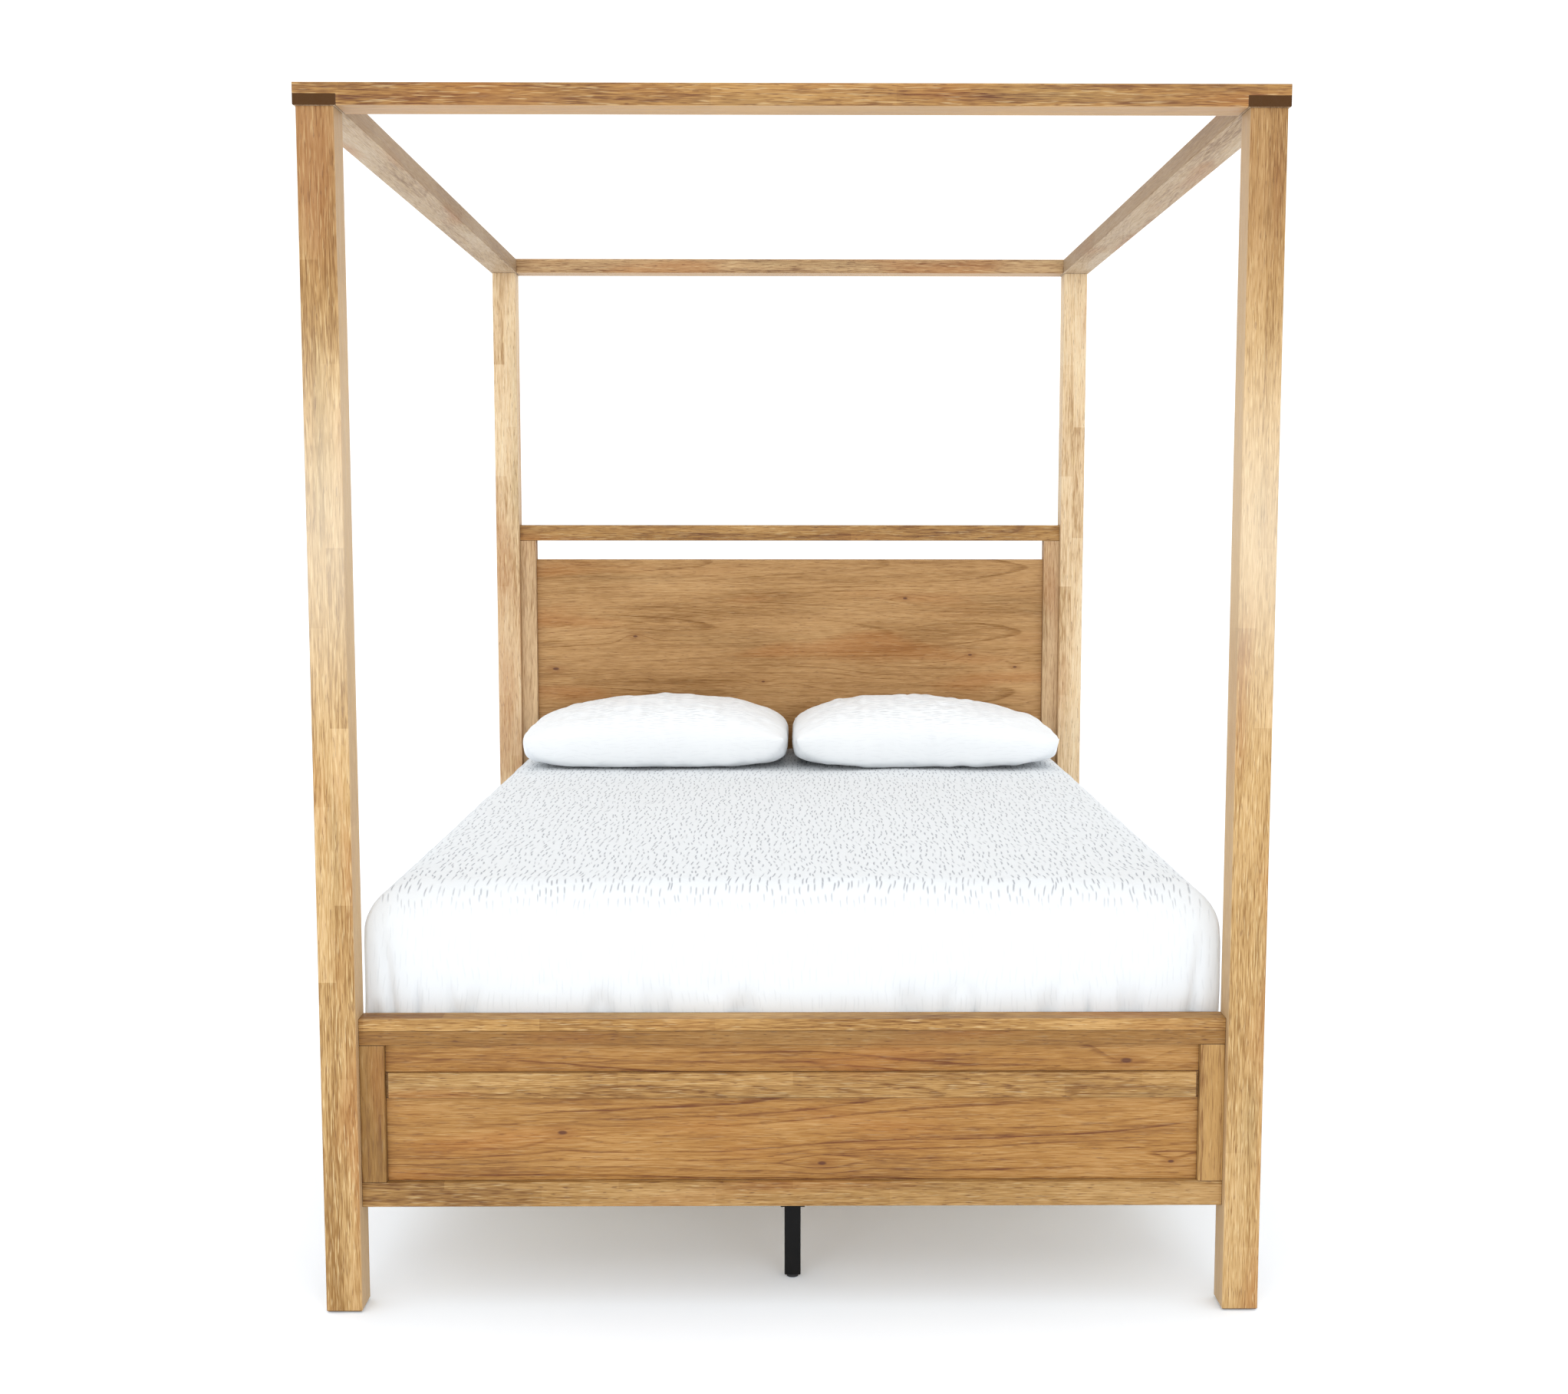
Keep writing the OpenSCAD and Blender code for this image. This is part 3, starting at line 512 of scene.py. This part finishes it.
def paint_footboard():
    knots = [(0.593, 0.450, 0.012), (-0.410, 0.320, 0.010), (0.052, 0.263, 0.009), (0.676, 0.265, 0.007)]
    batten = both_edges("footboard_batten", 2)
    under_rail = [(2, edge("footboard_top_rail", 2, 0))]
    paint_end_frame("footboard", PANEL, FOOT_TOP, FOOT_BOTTOM, (STILE, RIGHT_STILE), 0,
                    under_rail + batten, knots)
    ends = [(0, edge("front_left_post", 0, 1)), (0, edge("front_right_post", 0, 0))]
    paint_board("footboard_cap", CAP, 35.0, ends + [(2, edge("footboard_cap", 2, 0))])
    paint_board("footboard_batten", BATTEN, 36.0, batten + both_edges("footboard_batten", 0))


def paint_headboard():
    knots = [(-0.443, 1.076, 0.008), (-0.671, 0.983, 0.011), (0.329, 1.185, 0.008), (0.516, 1.023, 0.007),
             (0.645, 0.988, 0.007), (-0.077, 0.946, 0.006)]
    panel_top = [(2, edge("headboard_panel", 2, 1))]
    paint_end_frame("headboard", HEAD, RAIL, RAIL, (PALE, PALE), 1, panel_top, knots)


def paint_bed_base():
    for index, side in enumerate(("left", "right")):
        paint_board(f"{side}_side_rail", RAIL, 41.0 + index)
        paint_board(f"{side}_slat_ledge", PINE, 43.0 + index)
    paint_board("rear_stretcher", RAIL, 37.0)
    paint_board("centre_beam", PINE, 45.0)
    for number in range(1, 10):
        paint_board(f"slat_{number}", PINE, 50.0 + number)
    paint_board("frame_dowels", BEECH, 47.0)


def paint_hardware():
    steel = zinc("zinc_plate")
    black = powder_coat("black_steel")
    plastic = moulded_plastic("black_plastic")
    for name in ("canopy_bolts", "canopy_inserts", "rail_hook_plates", "post_slot_plates", "frame_screws",
                 "slat_screws", "front_foot_stem", "middle_foot_stem", "rear_foot_stem"):
        paint(name, steel)
    for name in ("beam_hangers", "front_centre_leg", "middle_centre_leg", "rear_centre_leg"):
        paint(name, black)
    for name in ("leg_plugs", "front_foot_pad", "middle_foot_pad", "rear_foot_pad", "post_glides"):
        paint(name, plastic)


# ---- Soft goods ----

def new_piece(name, mesh, material, body):
    """An object with one smooth-shaded material that rides on a body."""
    piece = bpy.data.objects.new(name, mesh)
    scene.collection.objects.link(piece)
    mesh.materials.append(material)
    for face in mesh.polygons:
        face.use_smooth = True
    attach(piece, body)
    return piece


def grid_mesh(name, points, loop=False):
    """A mesh of quads over a rows x columns x 3 array of points. With loop, each row closes on itself."""
    rows, columns = points.shape[:2]
    faces = []
    for i in range(rows - 1):
        for j in range(columns if loop else columns - 1):
            k = (j + 1) % columns
            faces.append((i * columns + j, i * columns + k, (i + 1) * columns + k, (i + 1) * columns + j))
    mesh = bpy.data.meshes.new(name)
    mesh.from_pydata(points.reshape(-1, 3).tolist(), [], faces)
    mesh.validate()
    return mesh


def smooth_noise(points, size, seed):
    """Smooth value noise between -1 and 1 over an n x 3 array, with lumps about size metres wide."""
    size = np.broadcast_to(np.asarray(size, float), (3,))
    apart = 13.7
    p = points / size + seed * apart
    base = np.floor(p).astype(np.int64)
    f = p - base
    f = f * f * (3 - 2 * f)
    total = np.zeros(len(points))
    for dx in (0, 1):
        for dy in (0, 1):
            for dz in (0, 1):
                # A scrambled but fixed number for this corner of the lattice
                key = (base[:, 0] + dx) * 73856093
                key = key ^ ((base[:, 1] + dy) * 19349663)
                key = key ^ ((base[:, 2] + dz) * 83492791)
                key = (key ^ (key >> 13)) * 1274126177 & 0x7FFFFFFF
                key = (key ^ (key >> 15)) * 668265263 & 0x7FFFFFFF
                value = (key % 65536) / 32767.5 - 1
                w = (f[:, 0] if dx else 1 - f[:, 0]) * (f[:, 1] if dy else 1 - f[:, 1])
                total += w * (f[:, 2] if dz else 1 - f[:, 2]) * value
    return total


def coverlet_rows(low, high, roll, step):
    """Where each row of the cloth lies, from the flat top out over the rolled edge and down to the hem:
    how far in from the side it is, and its height."""
    arc = roll * math.pi / 2
    end = arc + high.z - low.z - roll
    drops = [*np.arange(0, arc, step * 0.7), *np.arange(arc, end, step), end]
    rows = []
    for drop in drops:
        angle = min(drop / roll, math.pi / 2)
        inset = roll * (1 - math.sin(angle))
        rows.append((inset, high.z - roll * (1 - math.cos(angle)) - max(0.0, drop - arc)))
    return rows


def outline(half, front, back, inset, corner, step):
    """Points round the left side, the foot end and the right side of the bed, from head to head."""
    x = half - inset
    y = front + inset
    side = int((back - front - corner) / step)
    across = int(2 * (half - corner) / step)
    bend = 10
    points = [(-x, back + (y + corner - back) * i / side) for i in range(side)]
    for i in range(bend):
        a = math.pi / 2 * i / bend
        points.append((-x + corner * (1 - math.cos(a)), y + corner * (1 - math.sin(a))))
    points += [(-x + corner + (2 * x - 2 * corner) * i / across, y) for i in range(across)]
    for i in range(bend):
        a = math.pi / 2 * i / bend
        points.append((x - corner * (1 - math.sin(a)), y + corner * (1 - math.cos(a))))
    points += [(x, y + corner + (back - y - corner) * i / side) for i in range(side + 1)]
    return np.array(points)


def make_coverlet():
    """One cloth over the mattress: it rolls over the sides and the foot end, and hangs to its hem."""
    low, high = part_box("coverlet")
    roll = 0.080
    corner = 0.008
    step = 0.007
    half = high.x
    rings = []
    for inset, z in coverlet_rows(low, high, roll, step):
        flat = outline(half, low.y, high.y, inset, corner, step)
        rings.append(np.column_stack([flat, np.full(len(flat), z)]))
    skirt = np.array(rings)
    inner = skirt[0]
    centre_rows = int((half - roll) / step)
    spine_front = inner[:, 1].min() + (half - roll)
    # The top is filled by rings that shrink towards a line down the middle of the bed
    top = []
    for i in range(1, centre_rows + 1):
        share = i / centre_rows
        ring = inner.copy()
        target = np.column_stack([np.zeros(len(ring)), np.clip(ring[:, 1], spine_front, None), ring[:, 2]])
        ring[:, :2] = ring[:, :2] * (1 - share) + target[:, :2] * share
        top.append(ring)
    points = np.concatenate([np.array(top[::-1]), skirt])
    shaped = dress_coverlet(points, low, high)
    mesh = grid_mesh("coverlet_cloth", shaped)
    cotton = seersucker("coverlet_cotton", 3.0, across_gap=0.0128, along_gap=0.040, turned=False,
                        calm=(high.z - 0.060, high.z + 0.008), high=(217, 221, 224), low=(136, 141, 150))
    piece = new_piece("coverlet_cloth", mesh, cotton, "mattress")
    weld(piece, distance=0.0005)
    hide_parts("coverlet")


def weld(piece, distance):
    """Joins the points of a mesh that lie closer together than distance."""
    work = bmesh.new()
    work.from_mesh(piece.data)
    bmesh.ops.remove_doubles(work, verts=work.verts, dist=distance)
    bmesh.ops.recalc_face_normals(work, faces=work.faces)
    work.to_mesh(piece.data)
    work.free()


def dress_coverlet(points, low, high):
    """Puckers on the top, soft vertical folds down the sides and foot end, and a tuck at each foot corner."""
    shape = points.shape
    flat = points.reshape(-1, 3).copy()
    du = np.gradient(points, axis=0).reshape(-1, 3)
    dv = np.gradient(points, axis=1).reshape(-1, 3)
    normal = np.cross(dv, du)
    size = np.linalg.norm(normal, axis=1, keepdims=True)
    normal = np.where(size > 1e-12, normal / np.maximum(size, 1e-12), [0, 0, 1])
    outward = np.sign(np.sum(normal * (flat - [0, 0, low.z]), axis=1, keepdims=True))
    normal *= np.where(outward == 0, 1, outward)
    depth = high.z - flat[:, 2]
    down = np.clip((depth - 0.06) / 0.16, 0, 1)
    top = 1 - np.clip(depth / 0.05, 0, 1)
    swell = 0.0018 * smooth_noise(flat, 0.22, 1) * top + 0.0011 * smooth_noise(flat, 0.06, 2)
    puckers = 0.0007 * smooth_noise(flat, [0.011, 0.034, 0.034], 5) * (1 - 0.8 * down)
    fold = smooth_noise(flat * [1, 1, 0.12], 0.045, 3) * 0.0018 * down
    drape = np.abs(smooth_noise(flat * [1, 1, 0.10], 0.16, 9)) * 0.005 * down
    # Creases where the cloth is tucked down behind the footboard
    line = smooth_noise(flat * [1, 1, 0.22], 0.050, 7)
    tuck_height = 0.53
    tucked = np.exp(-((flat[:, 2] - tuck_height) / 0.045) ** 2)
    crease = -0.008 * np.clip(1 - np.abs(line) / 0.20, 0, 1) * tucked
    # The sides of the cloth never sink into the mattress
    beside_bed = np.abs(normal[:, 0]) > 0.5
    deepest = -0.0004
    offset = swell + puckers + fold + crease + np.where(beside_bed, drape, 0) - 0.0002
    flat += normal * np.where(beside_bed, np.maximum(offset, deepest), offset)[:, None]
    # The foot end leans out towards the footboard, and a slanting pleat runs down beside each post
    foot = np.clip((low.y + 0.10 - flat[:, 1]) / 0.10, 0, 1) * np.clip(depth / 0.10, 0, 1)
    lean = 0.0090
    flat[:, 1] -= lean * foot
    flat[:, 0] += np.sign(flat[:, 0]) * 0.0026 * foot * (np.abs(flat[:, 0]) > high.x - 0.03)
    pleat = high.x - 0.030 - 0.10 * (0.70 - flat[:, 2])
    beside = np.exp(-((np.abs(flat[:, 0]) - pleat) / 0.007) ** 2)
    flat[:, 1] += 0.010 * beside * foot * down
    # It stays clear of the footboard and the posts
    gap = 0.0008
    flat[:, 1] = np.maximum(flat[:, 1], edge("footboard_cap", 1, 1) + gap)
    room = np.where(np.abs(flat[:, 1]) > high.y - 0.08, -0.0006, 0.006)
    left = edge("front_left_post", 0, 1) - room
    right = edge("front_right_post", 0, 0) + room
    flat[:, 0] = np.clip(flat[:, 0], left, right)
    return flat.reshape(shape)


def inflate(piece, pressure, steps):
    """Blows a sewn case up by a cloth simulation, and leaves the result as its mesh."""
    cloth = piece.modifiers.new("inflate", "CLOTH")
    cloth.settings.quality = 6
    cloth.settings.mass = 0.2
    cloth.settings.tension_stiffness = 30.0
    cloth.settings.compression_stiffness = 30.0
    cloth.settings.shear_stiffness = 10.0
    cloth.settings.bending_stiffness = 0.6
    cloth.settings.use_pressure = True
    cloth.settings.uniform_pressure_force = pressure
    cloth.settings.effector_weights.gravity = 0.0
    cloth.point_cache.frame_start = 1
    cloth.point_cache.frame_end = steps
    for step in range(1, steps + 1):
        scene.frame_set(step)
    shown = piece.evaluated_get(bpy.context.evaluated_depsgraph_get())
    blown = bpy.data.meshes.new_from_object(shown)
    piece.modifiers.remove(cloth)
    flat = piece.data
    piece.data = blown
    bpy.data.meshes.remove(flat)
    scene.frame_set(1)


def pillow_case(name, size, loft, columns, rows, seed):
    """Two square-cut panels of cotton, sewn together round their rim and hardly filled."""
    work = bmesh.new()
    v, u = np.meshgrid(np.linspace(-1, 1, rows), np.linspace(-1, 1, columns), indexing="ij")
    dome = ((1 - u ** 2) * (1 - v ** 2)) ** 0.5
    for face in (1, -1):
        points = np.stack([u * size[0] / 2, v * size[1] / 2, face * loft / 2 * dome], axis=-1)
        wrinkle = smooth_noise(points.reshape(-1, 3), 0.05, seed + face).reshape(dome.shape)
        points[..., 2] += 0.003 * wrinkle * np.minimum(1, dome * 3)
        part = grid_mesh(name, points)
        work.from_mesh(part)
        bpy.data.meshes.remove(part)
    bmesh.ops.remove_doubles(work, verts=work.verts, dist=0.0003)
    bmesh.ops.recalc_face_normals(work, faces=work.faces)
    mesh = bpy.data.meshes.new(name)
    work.to_mesh(mesh)
    work.free()
    return mesh


def mesh_points(mesh):
    return np.array([vertex.co for vertex in mesh.vertices], float)


def set_points(mesh, points):
    mesh.vertices.foreach_set("co", points.astype(np.float32).ravel())
    mesh.update()


def make_pillow(side, seed, lean):
    """A sewn case blown up by simulation, then settled on the bed and puckered. lean says how much fuller its
    right end is than its left."""
    node = f"{side}_pillow"
    low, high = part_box(node)
    middle = (low + high) / 2
    size = high - low
    columns, rows = ((91, 67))
    flat = (size.x * 1.07, size.y * 1.12)
    loft = size.z * 0.35
    mesh = pillow_case(f"{node}_case", flat, loft, columns, rows, seed)
    cotton = seersucker(f"{node}_cotton", 9.0 + seed, across_gap=0.010, along_gap=0.034, turned=True,
                        calm=(low.z + 0.09, high.z - 0.01), high=(230, 233, 235), low=(172, 177, 186))
    piece = new_piece(f"{node}_case", mesh, cotton, node)
    sewn = mesh_points(piece.data)
    inflate(piece, pressure=9.0, steps=32)
    blown = mesh_points(piece.data)
    blown /= np.abs(blown).max(axis=0)
    u = sewn[:, 0] * 2 / flat[0]
    v = sewn[:, 1] * 2 / flat[1]
    # At rest the case is full at its ends, flat where it lies, and its seam is a little below the middle
    seam = 0.42
    full_u = np.clip(1 - u ** 2, 0, 1)
    full_v = np.clip(1 - np.abs(v) ** 2.4, 0, 1)
    top = (2 - 2 * seam) * full_u ** 0.48 * full_v ** 0.45 * (1 + lean * u)
    base = -2 * seam * (np.clip(1 - u ** 4, 0, 1) * np.clip(1 - np.abs(v) ** 5, 0, 1)) ** 0.3
    height = np.where(sewn[:, 2] > 0, top, np.where(sewn[:, 2] < 0, base, 0.0)) + 0.16 * (u * v) ** 4
    # The corners are round, and end in small ears that curl up
    round_off = (u * v) ** 4 * 0.085
    ear = np.exp(-((np.abs(u * v) - 1) / 0.05) ** 2) * 0.03
    rest = np.column_stack([u * (1 - round_off + ear), v * (1 - round_off + ear), height])
    above = (2 - 2 * seam) * np.abs(blown[:, 2]) ** 0.6
    below = -2 * seam * np.abs(blown[:, 2]) ** 0.4
    lift = np.where(blown[:, 2] > 0, above, below)
    share = 0.22
    points = rest * (1 - share) + np.column_stack([blown[:, 0], blown[:, 1], lift]) * share
    set_points(piece.data, points * [size.x / 2, size.y / 2, size.z / 2])
    subdivide(piece)
    points = mesh_points(piece.data)
    normals = np.array([vertex.normal for vertex in piece.data.vertices], float)
    pucker = smooth_noise(points * [0.30, 1, 1], 0.010, seed) * 0.0008
    pucker += smooth_noise(points, 0.035, seed) * 0.0022
    points += normals * pucker[:, None]
    for axis in range(3):
        least = points[:, axis].min()
        most = points[:, axis].max()
        room = size[axis] - 0.001
        points[:, axis] = (points[:, axis] - (least + most) / 2) * room / (most - least) + middle[axis]
    # Its front edge has slid a little towards the foot end, and it lies just clear of the coverlet
    slid = 0.010
    clear = 0.0005
    points[:, 1] -= slid * np.clip((middle.y - points[:, 1]) / (size.y / 2), 0, 1)
    points[:, 2] += low.z + clear - points[:, 2].min()
    set_points(piece.data, points)
    for face in piece.data.polygons:
        face.use_smooth = True
    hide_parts(node)


def subdivide(piece):
    """One smooth subdivision, applied."""
    smoother = piece.modifiers.new("smooth", "SUBSURF")
    smoother.levels = smoother.render_levels = 1
    shown = piece.evaluated_get(bpy.context.evaluated_depsgraph_get())
    fine = bpy.data.meshes.new_from_object(shown)
    piece.modifiers.remove(smoother)
    coarse = piece.data
    piece.data = fine
    bpy.data.meshes.remove(coarse)


def rounded_block(name, low, high, radius_low, radius_high, radius_plan, cuts=36):
    """A closed padded block whose top and bottom edges roll over with their own radii."""
    work = bmesh.new()
    bmesh.ops.create_cube(work, size=2.0)
    bmesh.ops.subdivide_edges(work, edges=work.edges[:], cuts=cuts, use_grid_fill=True)
    middle = (low + high) / 2
    half = (high - low) / 2
    for vert in work.verts:
        spot = Vector([math.sin(vert.co[k] * math.pi / 2) * half[k] for k in range(3)])
        roll = radius_high if spot.z > 0 else radius_low
        radius = Vector((max(roll, radius_plan), max(roll, radius_plan), roll))
        core = Vector([max(-half[k] + radius[k], min(half[k] - radius[k], spot[k])) for k in range(3)])
        out = Vector([(spot[k] - core[k]) / radius[k] for k in range(3)])
        if out.length > 1e-9:
            out.normalize()
        vert.co = middle + core + Vector([out[k] * radius[k] for k in range(3)])
    mesh = bpy.data.meshes.new(name)
    work.to_mesh(mesh)
    work.free()
    return mesh


def piping(name, low, high, z, corner, radius):
    """A tape edge round a block at height z."""
    steps = 12
    sides = 10
    path = []
    for turn, (sx, sy) in enumerate(((1, 1), (-1, 1), (-1, -1), (1, -1))):
        cx = (high.x if sx > 0 else low.x) - sx * corner
        cy = (high.y if sy > 0 else low.y) - sy * corner
        for i in range(steps + 1):
            angle = math.pi / 2 * (turn + i / steps)
            nx = math.cos(angle)
            ny = math.sin(angle)
            path.append((cx + corner * nx, cy + corner * ny, nx, ny))
    rings = []
    for k in range(sides):
        swing = 2 * math.pi * k / sides
        out = radius * math.cos(swing)
        up = radius * math.sin(swing)
        rings.append([(x + nx * out, y + ny * out, z + up) for x, y, nx, ny in path])
    rings.append(rings[0])
    return grid_mesh(name, np.array(rings), loop=True)


def make_block(node, roll):
    """The mattress or the foundation: a padded block in ticking, with a taped edge at top and bottom."""
    low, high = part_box(node)
    cloth = ticking(f"{node}_ticking")
    plan = 0.03
    tape_radius = 0.0025
    mesh = rounded_block(f"{node}_block", low, high, plan, roll, plan)
    block = new_piece(f"{node}_block", mesh, cloth, node)
    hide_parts(node)
    for label, z in (("low", low.z + plan), ("high", high.z - roll)):
        name = f"{node}_{label}_tape"
        new_piece(name, piping(name, low, high, z, plan, tape_radius), cloth, node)


# ---- Stage ----

def make_floor():
    """A pale floor that glows a little, so that it runs into the white world."""
    g = Graph("studio_floor")
    x, y, z = g.place()
    cloud = g.noise(g.vector(x, y, z), 2.0, 2.0)
    colour = g.ramp(cloud, [(0.3, (235, 241, 248)), (0.7, (238, 244, 250))])
    material = g.finish(colour, 0.9, Specular_IOR_Level=0.0, Emission_Color=(1, 1, 1, 1),
                        Emission_Strength=0.14)
    mesh = bpy.data.meshes.new("studio_floor")
    reach = 60.0
    mesh.from_pydata([(-reach, -reach, 0), (reach, -reach, 0), (reach, reach, 0), (-reach, reach, 0)], [],
                     [(0, 1, 2, 3)])
    mesh.materials.append(material)
    floor = bpy.data.objects.new("studio_floor", mesh)
    scene.collection.objects.link(floor)


def light(name, where, aim, size, power):
    """A rectangular lamp, size metres wide and high, that points at aim."""
    data = bpy.data.lights.new(name, "AREA")
    data.shape = "RECTANGLE"
    data.size = size[0]
    data.size_y = size[1]
    data.energy = power
    lamp = bpy.data.objects.new(name, data)
    lamp.location = where
    lamp.rotation_euler = (Vector(aim) - Vector(where)).to_track_quat("-Z", "Y").to_euler()
    scene.collection.objects.link(lamp)


def make_lights():
    """A white world, two soft lamps at the foot end, and one above the footboard."""
    world = bpy.data.worlds.new("studio")
    scene.world = world
    world.use_nodes = True
    background = world.node_tree.nodes["Background"]
    background.inputs[0].default_value = (1.0, 1.0, 1.0, 1.0)
    background.inputs[1].default_value = 1.25
    light("key", (-2.0, -5.0, 1.35), (0.0, 0.0, 1.0), (1.6, 1.6), 26.0)
    light("overhead", (0.0, -4.6, 3.2), (0.0, -2.0, 0.0), (2.2, 1.2), 14.0)
    light("fill", (2.0, -5.0, 1.35), (0.0, 0.0, 1.0), (1.6, 1.6), 26.0)


def make_camera():
    """Standing at the foot of the bed, a little above the footboard, as the photographer did."""
    data = bpy.data.cameras.new("camera")
    data.sensor_width = 36.0
    data.lens = 42.87769
    data.shift_x = -0.010274
    data.shift_y = 0.009589
    data.clip_start = 0.1
    data.clip_end = 200.0
    camera = bpy.data.objects.new("camera", data)
    camera.location = (-0.0119, -4.2874, 1.4013)
    yaw = 0.0076
    pitch = 0.1013
    roll = 0.0004
    ahead = Vector((math.sin(yaw) * math.cos(pitch), math.cos(yaw) * math.cos(pitch), -math.sin(pitch)))
    turn = ahead.to_track_quat("-Z", "Y") @ Matrix.Rotation(roll, 4, "Z").to_quaternion()
    camera.rotation_mode = "QUATERNION"
    camera.rotation_quaternion = turn
    scene.collection.objects.link(camera)
    scene.camera = camera
    scene.view_settings.view_transform = "Standard"


make_camera()
make_lights()
make_floor()
paint_posts()
paint_canopy()
paint_footboard()
paint_headboard()
paint_bed_base()
paint_hardware()
make_block("foundation", roll=0.03)
make_block("mattress", roll=0.084)
make_coverlet()
make_pillow("left", seed=1, lean=0.06)
make_pillow("right", seed=2, lean=-0.15)
